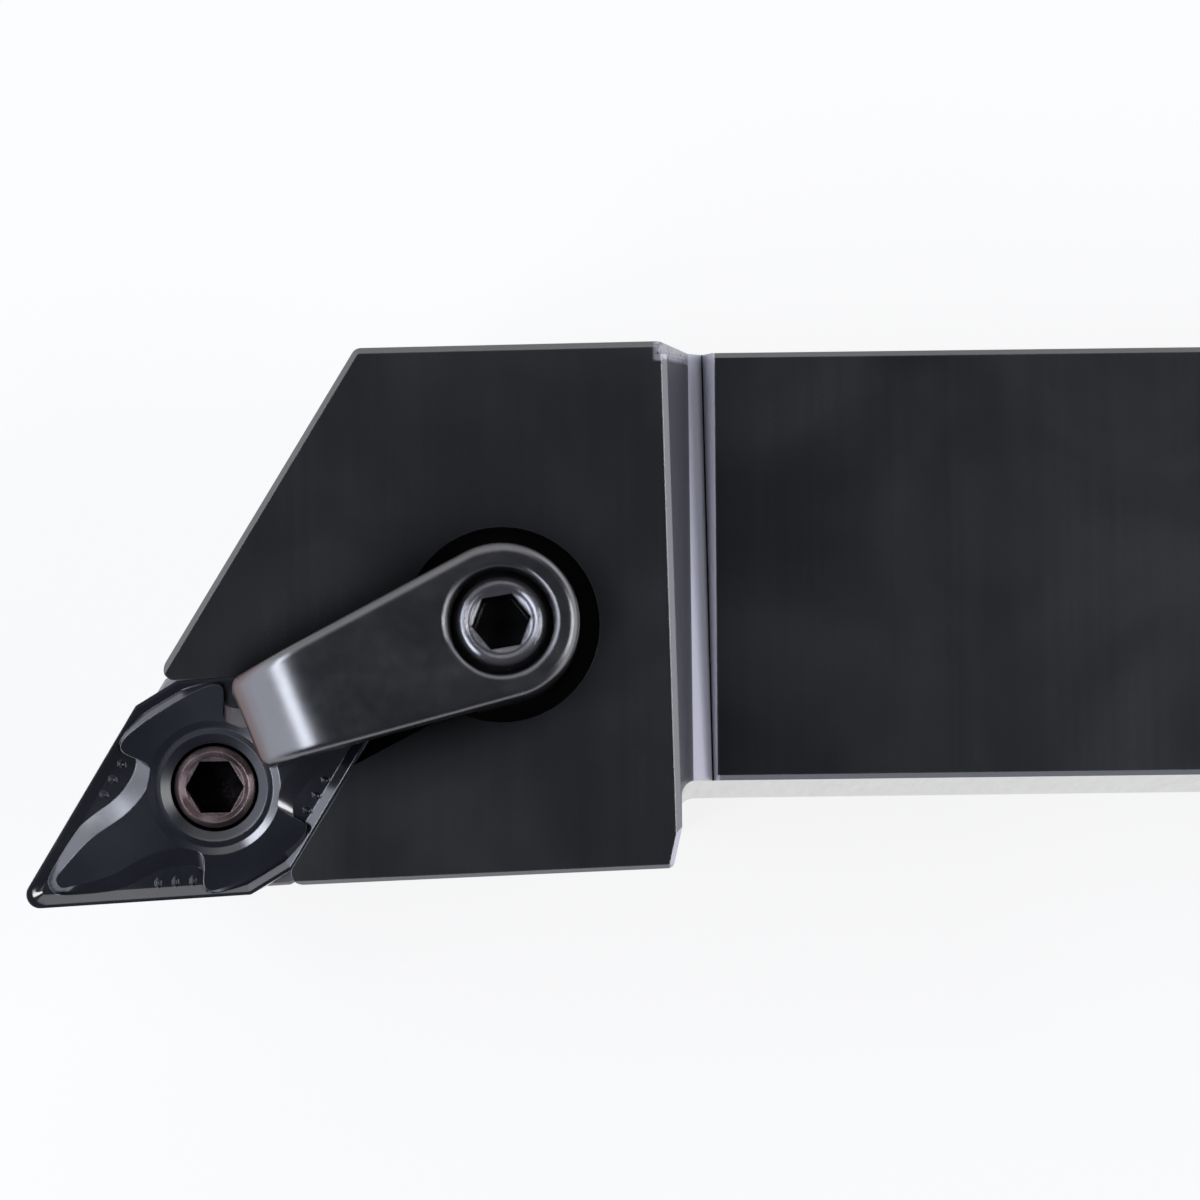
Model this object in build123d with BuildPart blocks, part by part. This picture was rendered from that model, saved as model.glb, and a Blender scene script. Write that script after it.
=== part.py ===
from build123d import *
from math import atan, cos, degrees, radians, sin, tan
import os

# Right-hand turning tool holder with a clamped, pinned rhombic insert.
# +X runs from the cutting nose to the shank's rear end, +Y to the back of the shank, +Z up.
# The origin is the middle of the shank's base, halfway along the tool. All lengths are millimetres.

# ---- driving dimensions -------------------------------------------------------------------------

# shank
tool_length = 150.0
shank_size = 25.0
shank_edge_chamfer = 0.3
shank_end_chamfer = 1.2

# cutting nose: its height over the base, and its reach sideways from the shank's back face
tip_height = 25.0
tip_reach = 32.0
approach_angle = 93.0
seat_tilt = 6.0

# insert
inscribed_circle = 12.7
insert_angle = 55.0
insert_thickness = 6.35
nose_radius = 0.8
insert_hole_diameter = 5.16
corner_blunting = 1.6
blunt_corner_radius = 0.25
edge_land = 0.18
edge_drop = 0.12
breaker_depth = 0.3
breaker_slope = 62.0

# insert plateau: half widths of its top and of its foot, at places along the insert's long diagonal
plateau_top_reach = 10.8
plateau_foot_reach = 11.35
finger_tip_places = (10.3, 10.8)
finger_tip_halves = (0.5, 0.85)
finger_swell_places = (7.5, 7.1)
finger_swell_halves = (1.25, 2.3)
finger_neck_places = (5.0, 4.9)
finger_neck_halves = (1.42, 2.55)
shoulder_places = (2.65, 3.05)
shoulder_halves = (3.15, 3.9)
plateau_halves = (5.4, 5.95)

# insert hole: a shallow dish round a sloped mouth
dish_radius = 3.92
dish_depth = 0.14
dish_slope = 72.0
hole_mouth_radius = 3.14
hole_mouth_depth = 0.3

# rows of small bumps in the chip breaker
bump_length = 0.62
bump_width = 0.36
bump_height = 0.16
bump_pitch = 1.03
bump_inset = 1.0
bump_shift = 1.75
bump_slope = 35.0
bumps_per_edge = 3

# shim under the insert
shim_thickness = 3.18
shim_inset = 0.02
shim_nose_radius = 1.6
shim_corner_radius = 0.3
shim_edge_chamfer = 0.15
shim_corner_blunting = 0.15
shim_hole_clearance = 0.1

# lock pin
pin_head_diameter = 4.75
pin_collar_diameter = 7.4
pin_collar_angle = 90.0
pin_collar_drop = 0.3
pin_thread_diameter = 5.0
pin_length = 17.0
pin_hole_depth = 9.5
pin_top_drop = 0.25
pin_socket_size = 3.0
pin_socket_turn = -30.5
pin_socket_depth = 3.0
pin_socket_mouth = 0.3
pin_rim_chamfer = 0.3
pin_tip_chamfer = 0.6

# head of the holder
head_top_height = 28.0
head_back_offset = 0.27
head_back_offset_rear = 0.46
head_front_corner_x = -55.5
head_back_foot_x = -36.1
head_back_ramp_x = -37.9
head_front_rear_x = -36.8
head_front_y = -17.7
head_front_bevel_x = -37.35
head_front_bevel_y = -15.3
head_front_toe = 1.9
flank_bearing = 58.4
flank_relief = 6.0
front_relief = 6.0
flank_chamfer = 0.35
front_chamfer = 0.25
rear_chamfer = 0.25
head_corner_radius = 0.6
head_front_corner_radius = 0.4
head_nose_radius = 1.5
head_root_fillet = 1.0

# steep slope at the head's rear and the relief groove at its foot, given where they cross the tool's middle
rear_top_x = -37.195
rear_skew = 1.1
rear_slope = 69.75
groove_near_x = -36.09
groove_near_slope = 45.0
groove_near_tilt = 2.98
groove_far_x = -34.616
groove_far_skew = -0.28
groove_far_slope = 65.0
groove_floor_height = 24.067
groove_floor_tilt = 2.22
back_bevel_width = 0.75
back_bevel_top_x = -37.8

# pocket
pocket_clearance = 0.04
pocket_corner_relief = 1.1
pocket_lip_radius = 0.7

# clamp and its screw
clamp_axis_x = -47.1
clamp_axis_y = -3.45
clamp_bearing = 21.1
clamp_heel_radius = 4.53
clamp_heel_reach = 3.2
clamp_nose_width = 5.5
clamp_reach = 15.9
clamp_top_height = 31.8
clamp_flat_reach = 11.0
clamp_pad_length = 3.0
clamp_step_start = 3.5
clamp_step_height = 0.6
clamp_nose_corner = 0.75
clamp_nose_top_height = 29.4
clamp_arch_height = 29.5
clamp_arch_bevel = 0.9
clamp_edge_radius = 0.6
clamp_gap = 0.05
clamp_seat_height = 25.2
clamp_recess_radius = 5.68
clamp_trough_bearing = 27.5
clamp_trough_front = 3.15
clamp_trough_back = 1.0
clamp_trough_length = 15.0
clamp_mouth_diameter = 6.2
clamp_mouth_depth = 1.6
clamp_mouth_radius = 0.34
screw_diameter = 5.9
screw_waist_diameter = 4.7
screw_waist_length = 3.0
screw_top_drop = 0.7
screw_tip_diameter = 5.16
screw_tip_length = 1.2
screw_tip_chamfer = 0.3
screw_bottom_height = 8.0
screw_end_chamfer = 0.7
screw_hole_run_out = 1.5
key_hole_diameter = 3.8
screw_socket_size = 3.0
screw_socket_turn = 9.0
screw_socket_depth = 3.4
screw_socket_mouth = 0.3
thread_clearance = 0.05
hole_mouth_bevel = 0.5

# how closely an edge's place or size must match when it is picked
pick_margin = 0.01

# ---- places worked out from them ----------------------------------------------------------------

half_length = tool_length / 2
half_shank = shank_size / 2
tip_y = half_shank - tip_reach
half_angle = insert_angle / 2
edge_bearing = approach_angle - 90
bisector_bearing = radians(edge_bearing + half_angle)
seat_slope = tan(radians(seat_tilt))

# the insert's long half diagonal and its short one, to the sharp corners
long_half = inscribed_circle / 2 / sin(radians(half_angle))
short_half = inscribed_circle / 2 / cos(radians(half_angle))
nose_centre_reach = (inscribed_circle / 2 - nose_radius) / sin(radians(half_angle))

# the plane of the insert's upper seat: local X runs along its long diagonal, away from the cutting nose
seat_normal = Vector(-seat_slope, -seat_slope, 1).normalized()
diagonal_rise = seat_slope * (cos(bisector_bearing) + sin(bisector_bearing))
diagonal = Vector(cos(bisector_bearing), sin(bisector_bearing), diagonal_rise).normalized()
nose_centre = Vector(
    -half_length + nose_radius,
    tip_y + nose_radius,
    tip_height + edge_drop + 2 * nose_radius * seat_slope,
)
insert_centre = nose_centre + diagonal * nose_centre_reach
insert_top = Plane(origin=insert_centre, x_dir=diagonal, z_dir=seat_normal)
insert_middle = insert_top.offset(-insert_thickness / 2)
shim_top = insert_top.offset(-insert_thickness)
pocket_floor = insert_top.offset(-insert_thickness - shim_thickness)

# the pocket's walls in that plane: the corner where they meet, the back wall's direction and its outward one
pocket_apex = long_half + pocket_clearance / sin(radians(half_angle))
back_wall = Vector(-cos(radians(half_angle)), sin(radians(half_angle)))
wall_outward = Vector(sin(radians(half_angle)), cos(radians(half_angle)))

# the upright plane along the clamp: local X runs from the screw to the clamp's nose, local Y up
clamp_direction = Vector(-cos(radians(clamp_bearing)), -sin(radians(clamp_bearing)), 0)
clamp_side = Plane(
    origin=(clamp_axis_x, clamp_axis_y, 0),
    x_dir=clamp_direction,
    z_dir=clamp_direction.cross(Vector(0, 0, 1)),
)
clamp_plan = Plane(origin=(clamp_axis_x, clamp_axis_y, 0), x_dir=clamp_direction, z_dir=(0, 0, 1))
screw_hole_radius = screw_diameter / 2 + thread_clearance
clamp_length_axis = Axis((clamp_axis_x, clamp_axis_y, 0), clamp_direction)


def insert_outline(inset, tip_radius, blunting, corner_radius):
    """Rhombus of the insert's circle and angle, rounded at its noses and blunted at its wide corners."""
    shrink = 1 - inset / (inscribed_circle / 2)
    blunt_x = blunting * cos(radians(half_angle))
    blunt_y = short_half * shrink - blunting * sin(radians(half_angle))
    with BuildSketch() as outline:
        Polygon(
            (long_half * shrink, 0),
            (blunt_x, blunt_y),
            (-blunt_x, blunt_y),
            (-long_half * shrink, 0),
            (-blunt_x, -blunt_y),
            (blunt_x, -blunt_y),
            align=None,
        )
        noses = outline.vertices().group_by(Axis.X)
        fillet(noses[0] + noses[-1], tip_radius)
        wide_corners = outline.vertices().group_by(Axis.Y)
        fillet(wide_corners[0] + wide_corners[-1], corner_radius)
    return outline.sketch


def plateau_outline(reach, level):
    """The plateau inside the chip breaker, at its top (level 0) or its foot (level 1).

    A finger towards each nose swells, narrows and flares out round the hole.
    """
    with BuildSketch() as outline:
        with BuildLine():
            Spline(
                (-reach, 0),
                (-finger_tip_places[level], finger_tip_halves[level]),
                (-finger_swell_places[level], finger_swell_halves[level]),
                (-finger_neck_places[level], finger_neck_halves[level]),
                (-shoulder_places[level], shoulder_halves[level]),
                (0, plateau_halves[level]),
                tangents=((0, 1), (1, 0)),
            )
            mirror(about=Plane.YZ)
            mirror(about=Plane.XZ)
        make_face()
    return outline.sketch


# ---- cutting insert -----------------------------------------------------------------------------

with BuildPart() as cutting_insert:
    half_height = insert_thickness / 2
    rim_plane = insert_top.offset(-edge_drop)
    groove_plane = insert_top.offset(-edge_drop - breaker_depth)
    with BuildSketch(insert_middle):
        add(insert_outline(0, nose_radius, corner_blunting, blunt_corner_radius))
    extrude(amount=half_height - edge_drop)

    # pressed chip breaker: a sloped ring groove behind a narrow land along the cutting edge
    with BuildSketch(rim_plane):
        add(insert_outline(edge_land, nose_radius, corner_blunting, blunt_corner_radius))
    extrude(amount=-breaker_depth, taper=breaker_slope, mode=Mode.SUBTRACT)

    # plateau with a finger towards each nose: the clamp presses on it above, and the shim carries it below
    with BuildSketch(groove_plane):
        add(plateau_outline(plateau_foot_reach, 1))
    with BuildSketch(insert_top):
        add(plateau_outline(plateau_top_reach, 0))
    loft()

    # shallow dish and sloped mouth round the hole
    with BuildSketch(insert_top):
        Circle(dish_radius)
    extrude(amount=-dish_depth, taper=dish_slope, mode=Mode.SUBTRACT)
    mouth_slope = degrees(atan((hole_mouth_radius - insert_hole_diameter / 2) / hole_mouth_depth))
    with BuildSketch(insert_top.offset(-dish_depth)):
        Circle(hole_mouth_radius)
    extrude(amount=-hole_mouth_depth, taper=mouth_slope, mode=Mode.SUBTRACT)

    # a short row of bumps in the groove beside each edge, nearer to its wide corner
    along_edge = Vector(-cos(radians(half_angle)), sin(radians(half_angle)))
    into_insert = Vector(-sin(radians(half_angle)), -cos(radians(half_angle)))
    row_middle = Vector(long_half, short_half) / 2 + into_insert * bump_inset + along_edge * bump_shift
    row_steps = [bump_pitch * (n - (bumps_per_edge - 1) / 2) for n in range(bumps_per_edge)]
    bump_places = [row_middle + along_edge * step for step in row_steps]
    bump_end = (bump_length - bump_width) / 2
    with BuildSketch(groove_plane):
        with Locations(*[Location((place.X, place.Y), 90 - half_angle) for place in bump_places]):
            Polygon(
                (bump_length / 2, 0),
                (bump_end, bump_width / 2),
                (-bump_end, bump_width / 2),
                (-bump_length / 2, 0),
                (-bump_end, -bump_width / 2),
                (bump_end, -bump_width / 2),
                align=None,
            )
        mirror(about=Plane.YZ)
        mirror(about=Plane.XZ)
    extrude(amount=bump_height, taper=bump_slope)

    mirror(about=insert_middle)
    with Locations(insert_top):
        Hole(insert_hole_diameter / 2)

cutting_insert.part.label = "cutting_insert"

# ---- shim seat ----------------------------------------------------------------------------------

with BuildPart() as shim_seat:
    with BuildSketch(shim_top):
        add(insert_outline(shim_inset, shim_nose_radius, shim_corner_blunting, shim_corner_radius))
    extrude(amount=-shim_thickness)
    upper_rim = shim_seat.faces().sort_by(Axis(insert_centre, seat_normal))[-1].edges()
    chamfer(upper_rim, shim_edge_chamfer)
    with Locations(shim_top):
        CounterSinkHole(
            (pin_thread_diameter + 2 * shim_hole_clearance) / 2,
            pin_collar_diameter / 2 + pin_collar_drop + shim_hole_clearance,
            counter_sink_angle=pin_collar_angle,
        )

shim_seat.part.label = "shim_seat"

# ---- lock pin -----------------------------------------------------------------------------------

# Half section on the pin's axis: local X is the radius, local Y runs along the seat's normal.
pin_section = Plane(origin=insert_top.origin, x_dir=diagonal, z_dir=diagonal.cross(seat_normal))
pin_head_radius = pin_head_diameter / 2
pin_thread_radius = pin_thread_diameter / 2
pin_collar_radius = pin_collar_diameter / 2
collar_height = (pin_collar_radius - pin_thread_radius) / tan(radians(pin_collar_angle / 2))

with BuildPart() as lock_pin:
    with BuildSketch(pin_section):
        with BuildLine():
            Polyline(
                (0, -pin_top_drop),
                (pin_head_radius - pin_rim_chamfer, -pin_top_drop),
                (pin_head_radius, -pin_top_drop - pin_rim_chamfer),
                (pin_head_radius, -insert_thickness - pin_collar_drop),
                (pin_collar_radius, -insert_thickness - pin_collar_drop),
                (pin_thread_radius, -insert_thickness - pin_collar_drop - collar_height),
                (pin_thread_radius, -pin_top_drop - pin_length + pin_tip_chamfer),
                (pin_thread_radius - pin_tip_chamfer, -pin_top_drop - pin_length),
                (0, -pin_top_drop - pin_length),
                close=True,
            )
        make_face()
    revolve(axis=Axis(insert_centre, seat_normal))
    with BuildSketch(insert_top.offset(-pin_top_drop)):
        RegularPolygon(pin_socket_size / 2, 6, major_radius=False, rotation=pin_socket_turn)
    extrude(amount=-pin_socket_depth, mode=Mode.SUBTRACT)
    with BuildSketch(insert_top.offset(-pin_top_drop)):
        Circle(pin_socket_size / 2 / cos(radians(30)) + pin_socket_mouth)
    extrude(amount=-pin_socket_mouth, taper=45, mode=Mode.SUBTRACT)

lock_pin.part.label = "lock_pin"

# ---- holder body --------------------------------------------------------------------------------

# Plan of the head, from the corner between flank and back round to the nose. The flank is nearly
# parallel to the insert's free edge, and the front side runs out a little towards the nose.
back_y = half_shank + head_back_offset
toe_slope = tan(radians(head_front_toe))
flank_slope = tan(radians(flank_bearing))
flank_foot_x = head_front_corner_x - back_y / flank_slope
nose_y = (head_front_y - toe_slope * (head_front_bevel_x - flank_foot_x)) / (1 - toe_slope / flank_slope)
nose_x = head_front_corner_x - (back_y - nose_y) / flank_slope


def rear_facet(x, z, skew, slope, tilt=0):
    """Plane through (x, 0, z) that falls towards +X; skew turns its level line, tilt lowers it towards +Y."""
    fall = tan(radians(slope))
    return Plane(origin=(x, 0, z), z_dir=(fall, fall * tan(radians(skew)) + tan(radians(tilt)), 1))


def is_upright(edge):
    """True for an edge that stands upright, or leans only as far as two relief planes make it."""
    return abs((edge % 0.5).Z) > cos(radians(2 * (flank_relief + front_relief)))


def head_top_edges(body):
    """The edges round the head's flat top."""
    return body.part.faces().filter_by(Plane.XY).sort_by(Axis.Z)[-1].edges()


# What is milled away behind the head: the space over a steep slope, a bright facet that runs down
# towards the back, a narrow floor, and a facet that climbs to the shank's top.
slope_foot_height = head_top_height - (groove_near_x - rear_top_x) * tan(radians(rear_slope))
with BuildPart() as rear_cutter:
    with BuildSketch(Plane.XY.offset(half_shank)):
        with Locations((groove_near_x, 0)):
            Rectangle(shank_size, 2 * shank_size)
    extrude(amount=shank_size)
    split(bisect_by=rear_facet(rear_top_x, head_top_height, rear_skew, rear_slope), keep=Keep.TOP)
    near_facet = rear_facet(groove_near_x, slope_foot_height, 0, groove_near_slope, groove_near_tilt)
    split(bisect_by=near_facet, keep=Keep.TOP)
    split(bisect_by=rear_facet(groove_near_x, groove_floor_height, 0, 0, groove_floor_tilt), keep=Keep.TOP)
    split(bisect_by=rear_facet(groove_far_x, shank_size, groove_far_skew, -groove_far_slope), keep=Keep.TOP)
groove_floor_x = groove_near_x + slope_foot_height - groove_floor_height

with BuildPart() as head_block:
    with BuildSketch():
        Polygon(
            (head_front_corner_x, back_y),
            (nose_x, nose_y),
            (head_front_bevel_x, head_front_y),
            (head_front_rear_x, head_front_bevel_y),
            (head_front_rear_x, -half_shank),
            (groove_floor_x, -half_shank),
            (groove_floor_x, half_shank),
            (head_back_foot_x, half_shank),
            (head_back_ramp_x, half_shank + head_back_offset_rear),
            align=None,
        )
    extrude(amount=head_top_height)

    # relief under the flank and under the front side, milled inwards from their upper edges
    flank_direction = Vector(cos(radians(flank_bearing)), sin(radians(flank_bearing)), 0)
    flank_outward = flank_direction.cross(Vector(0, 0, -1))
    flank_plane = Plane(
        origin=(head_front_corner_x, back_y, head_top_height),
        x_dir=flank_direction,
        z_dir=flank_outward - Vector(0, 0, tan(radians(flank_relief))),
    )
    split(bisect_by=flank_plane, keep=Keep.BOTTOM)
    front_direction = Vector(cos(radians(head_front_toe)), sin(radians(head_front_toe)), 0)
    front_outward = front_direction.cross(Vector(0, 0, 1))
    front_plane = Plane(
        origin=(head_front_bevel_x, head_front_y, head_top_height),
        x_dir=front_direction,
        z_dir=front_outward - Vector(0, 0, tan(radians(front_relief))),
    )
    split(bisect_by=front_plane, keep=Keep.BOTTOM)

with BuildPart() as holder_body:
    # shank, from under the head to its rear end
    with BuildSketch(Plane.YZ.offset(head_back_ramp_x)):
        Rectangle(shank_size, shank_size, align=(Align.CENTER, Align.MIN))
    extrude(amount=half_length - head_back_ramp_x)
    chamfer(holder_body.faces().sort_by(Axis.X)[-1].edges(), shank_end_chamfer)
    chamfer(holder_body.edges().filter_by(Axis.X), shank_edge_chamfer)

    # head, less the slope and the groove at its rear
    add(head_block.part)
    add(rear_cutter.part, mode=Mode.SUBTRACT)

    # rounded back corner, front corner and inner corner against the shank
    upright_edges = holder_body.edges().filter_by(is_upright)
    back_edges = upright_edges.filter_by_position(Axis.Y, half_shank + pick_margin, shank_size)
    fillet(back_edges.sort_by(Axis.X)[0], head_corner_radius)
    upright_edges = holder_body.edges().filter_by(is_upright)
    rear_edges = upright_edges.filter_by_position(Axis.X, head_back_ramp_x, head_back_foot_x)
    fillet(rear_edges.sort_by(Axis.Y)[0], head_front_corner_radius)
    upright_edges = holder_body.edges().filter_by(Axis.Z)
    side_edges = upright_edges.filter_by_position(Axis.Y, -half_shank - pick_margin, -half_shank)
    fillet(side_edges.sort_by(Axis.X)[0], head_root_fillet)

    # broken edges round the head's top: back and flank in one run, then the front, then the rear
    chamfer(head_top_edges(holder_body).sort_by(Axis.X)[0], flank_chamfer)
    chamfer(head_top_edges(holder_body).sort_by(Axis.Y)[0], front_chamfer)
    chamfer(head_top_edges(holder_body).sort_by(Axis.X)[-1], rear_chamfer)

    # pocket: a wedge that opens towards the nose, square to the insert's tilted plane
    pocket_side = back_wall * 3 * inscribed_circle
    with BuildSketch(pocket_floor):
        Polygon(
            (pocket_apex, 0),
            (pocket_apex + pocket_side.X, pocket_side.Y),
            (pocket_apex + pocket_side.X, -pocket_side.Y),
            align=None,
        )
        with Locations((pocket_apex - pocket_corner_relief, 0)):
            Circle(pocket_corner_relief)
    extrude(amount=head_top_height, mode=Mode.SUBTRACT)

    # rounded nose under the pocket, and rounded corners where the pocket's walls meet the head's sides
    upright_edges = holder_body.edges().filter_by(is_upright)
    fillet(upright_edges.sort_by(Axis.X)[0], head_nose_radius)
    upright_edges = holder_body.edges().filter_by(is_upright)
    wall_edges = upright_edges.filter_by_position(Axis.Z, 3 * head_top_height / 4, head_top_height)
    fillet(wall_edges.sort_by(Axis.X)[0:2], pocket_lip_radius)

    # bevel at the back end of the rear slope
    bevel_y = half_shank + head_back_offset_rear - back_bevel_width
    with BuildSketch(Plane.XZ.offset(-bevel_y)):
        Polygon(
            (back_bevel_top_x, head_top_height),
            (groove_near_x, slope_foot_height - half_shank * tan(radians(groove_near_tilt))),
            (groove_near_x, head_top_height),
            align=None,
        )
    extrude(amount=-2 * back_bevel_width, mode=Mode.SUBTRACT)

    # recess for the clamp: a round seat under its heel, and a trough from there to the pocket
    with BuildSketch(clamp_plan.offset(clamp_seat_height)):
        Circle(clamp_recess_radius)
    extrude(amount=head_top_height, mode=Mode.SUBTRACT)
    trough_direction = Vector(-cos(radians(clamp_trough_bearing)), -sin(radians(clamp_trough_bearing)), 0)
    seat_middle = Vector(clamp_axis_x, clamp_axis_y, clamp_seat_height)
    with BuildSketch(Plane(origin=seat_middle, x_dir=trough_direction, z_dir=(0, 0, 1))):
        with Locations((0, -clamp_trough_back)):
            Rectangle(clamp_trough_length, clamp_trough_back + clamp_trough_front, align=Align.MIN)
    extrude(amount=head_top_height, mode=Mode.SUBTRACT)

    # tapped hole for the clamp screw, with a hole for the hex key below it, and the lock pin's tapped hole
    with Locations(clamp_plan.offset(clamp_seat_height)):
        Hole(screw_hole_radius, depth=clamp_seat_height - screw_bottom_height + screw_hole_run_out)
    with Locations(clamp_plan.offset(clamp_seat_height)):
        Hole(key_hole_diameter / 2, depth=clamp_seat_height)
    with Locations(pocket_floor):
        Hole(pin_thread_radius + thread_clearance, depth=pin_hole_depth)
    screw_hole_mouth = holder_body.edges().filter_by(
        lambda edge: edge.geom_type == GeomType.CIRCLE and abs(edge.radius - screw_hole_radius) < pick_margin
    )
    chamfer(screw_hole_mouth.sort_by(Axis.Z)[-1], hole_mouth_bevel)

holder_body.part.label = "holder_body"

# ---- top clamp ----------------------------------------------------------------------------------

with BuildPart() as top_clamp:
    # plan: round heel, straight sides running together to a blunt nose with round corners
    with BuildSketch(clamp_plan.offset(clamp_seat_height + clamp_gap)):
        Circle(clamp_heel_radius)
        with Locations((clamp_reach - clamp_nose_corner, 0)):
            Rectangle(2 * clamp_nose_corner, clamp_nose_width)
        make_hull()
    extrude(amount=clamp_top_height - clamp_seat_height - clamp_gap)
    fillet(top_clamp.edges().filter_by(Axis.Z).sort_by(clamp_length_axis)[-2:], clamp_nose_corner)

    # side: flat top that bends down to the nose, arched underside between nose and heel
    with BuildSketch(clamp_side):
        with BuildLine():
            top_line = Line((-2 * clamp_heel_radius, clamp_top_height), (clamp_flat_reach, clamp_top_height))
            nose_bend = TangentArc(
                top_line @ 1,
                (clamp_reach, clamp_nose_top_height),
                tangent=top_line % 1,
            )
            Polyline(
                nose_bend @ 1,
                (clamp_reach, clamp_seat_height),
                (clamp_reach - clamp_pad_length, clamp_seat_height),
                (clamp_reach - clamp_pad_length, clamp_arch_height - clamp_arch_bevel),
                (clamp_reach - clamp_pad_length - clamp_arch_bevel, clamp_arch_height),
                (clamp_heel_reach + clamp_arch_bevel, clamp_arch_height),
                (clamp_heel_reach, clamp_arch_height - clamp_arch_bevel),
                (clamp_heel_reach, clamp_seat_height),
                (-2 * clamp_heel_radius, clamp_seat_height),
                top_line @ 0,
            )
        make_face()
    extrude(amount=2 * clamp_heel_radius, both=True, mode=Mode.INTERSECT)

    # pad under the nose, parallel to the insert's top
    with BuildSketch(insert_top.offset(clamp_gap)):
        Rectangle(2 * long_half, 2 * inscribed_circle)
    extrude(amount=-inscribed_circle, mode=Mode.SUBTRACT)

    # step beside the pad, so that the clamp clears the head along the pocket's back wall
    wall_start = Vector(pocket_apex, 0) + back_wall * clamp_step_start
    wall_end = wall_start + back_wall * inscribed_circle
    step_width = wall_outward * clamp_nose_width
    step_corners = (wall_start, wall_end, wall_end + step_width, wall_start + step_width)
    with BuildSketch(insert_top):
        Polygon(*[(corner.X, corner.Y) for corner in step_corners], align=None)
    extrude(amount=clamp_step_height, mode=Mode.SUBTRACT)

    # rounded forging edges along the top
    rim = top_clamp.faces().filter_by(Plane.XY).sort_by(Axis.Z)[-1].edges()
    fillet(rim.sort_by(clamp_length_axis)[0:-1], clamp_edge_radius)

    # hole for the screw: a clear mouth over the thread
    mouth_plane = clamp_plan.offset(clamp_top_height)
    with Locations(mouth_plane):
        CounterBoreHole(screw_hole_radius, clamp_mouth_diameter / 2, clamp_mouth_depth)
    rims = top_clamp.edges().filter_by(GeomType.CIRCLE).sort_by(Axis.Z)
    mouth_rims = rims.filter_by(lambda edge: abs(edge.radius - clamp_mouth_diameter / 2) < pick_margin)
    fillet(mouth_rims[-1], clamp_mouth_radius)

top_clamp.part.label = "top_clamp"

# ---- clamp screw --------------------------------------------------------------------------------

# Half section on the screw's axis: local X is the radius, local Y is the height.
screw_section = clamp_side
screw_radius = screw_diameter / 2
screw_waist_radius = screw_waist_diameter / 2
screw_tip_radius = screw_tip_diameter / 2
screw_top_height = clamp_top_height - screw_top_drop
waist_bottom = clamp_seat_height - screw_waist_length / 2
waist_top = waist_bottom + screw_waist_length
waist_slope = screw_radius - screw_waist_radius

with BuildPart() as clamp_screw:
    with BuildSketch(screw_section):
        with BuildLine():
            Polyline(
                (0, screw_bottom_height),
                (screw_radius - screw_end_chamfer, screw_bottom_height),
                (screw_radius, screw_bottom_height + screw_end_chamfer),
                (screw_radius, waist_bottom - waist_slope),
                (screw_waist_radius, waist_bottom),
                (screw_waist_radius, waist_top),
                (screw_radius, waist_top + waist_slope),
                (screw_radius, screw_top_height - screw_tip_length),
                (screw_tip_radius, screw_top_height - screw_tip_length - screw_tip_radius + screw_radius),
                (screw_tip_radius, screw_top_height - screw_tip_chamfer),
                (screw_tip_radius - screw_tip_chamfer, screw_top_height),
                (0, screw_top_height),
                close=True,
            )
        make_face()
    revolve(axis=Axis((clamp_axis_x, clamp_axis_y, 0), (0, 0, 1)))
    with BuildSketch(Plane((clamp_axis_x, clamp_axis_y, screw_top_height))):
        RegularPolygon(screw_socket_size / 2, 6, major_radius=False, rotation=screw_socket_turn)
    extrude(amount=-screw_socket_depth, mode=Mode.SUBTRACT)
    with BuildSketch(Plane((clamp_axis_x, clamp_axis_y, screw_top_height))):
        Circle(screw_socket_size / 2 / cos(radians(30)) + screw_socket_mouth)
    extrude(amount=-screw_socket_mouth, taper=45, mode=Mode.SUBTRACT)
    with BuildSketch(Plane((clamp_axis_x, clamp_axis_y, screw_bottom_height))):
        RegularPolygon(screw_socket_size / 2, 6, major_radius=False, rotation=screw_socket_turn)
    extrude(amount=screw_socket_depth, mode=Mode.SUBTRACT)

clamp_screw.part.label = "clamp_screw"

# ---- files --------------------------------------------------------------------------------------

os.makedirs("parts", exist_ok=True)
export_step(holder_body.part, "parts/holder_body.step")
export_step(shim_seat.part, "parts/shim_seat.step")
export_step(cutting_insert.part, "parts/cutting_insert.step")
export_step(lock_pin.part, "parts/lock_pin.step")
export_step(top_clamp.part, "parts/top_clamp.step")
export_step(clamp_screw.part, "parts/clamp_screw.step")
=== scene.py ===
# %% [markdown]
# # A turning tool holder
#
# The object is a square steel bar with a milled head. A rhombic carbide insert sits in a pocket at the
# head's front corner, on a carbide shim. A brown lock pin comes up through the insert's hole, and a
# forged clamp, drawn down by a screw with a thread at both ends, presses on its top.
#
# The six parts arrive as finished solids, at their real size, in metres. This file keeps them where they
# are. It gives them their steel, oxide and coating, and sets up the light and the camera.

# %% Load the solids
import math

import bmesh
import bpy
from mathutils import Matrix, Vector

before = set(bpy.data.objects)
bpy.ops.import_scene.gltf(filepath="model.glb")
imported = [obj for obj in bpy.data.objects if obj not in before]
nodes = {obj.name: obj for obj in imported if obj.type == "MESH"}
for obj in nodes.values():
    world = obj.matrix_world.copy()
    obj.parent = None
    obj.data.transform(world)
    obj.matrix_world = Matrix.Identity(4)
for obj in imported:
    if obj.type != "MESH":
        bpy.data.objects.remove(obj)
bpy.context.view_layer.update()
mm = 0.001
print("nodes:", sorted(nodes))

# %% [markdown]
# ## Camera
#
# The tool is seen from almost straight above, with a long lens, so its sides hardly show. The camera
# stands a little to the cutting side, which lets a thin strip of the shank's front side be seen. It is
# turned by a fraction of a degree, so the shank climbs slightly to the right.

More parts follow.
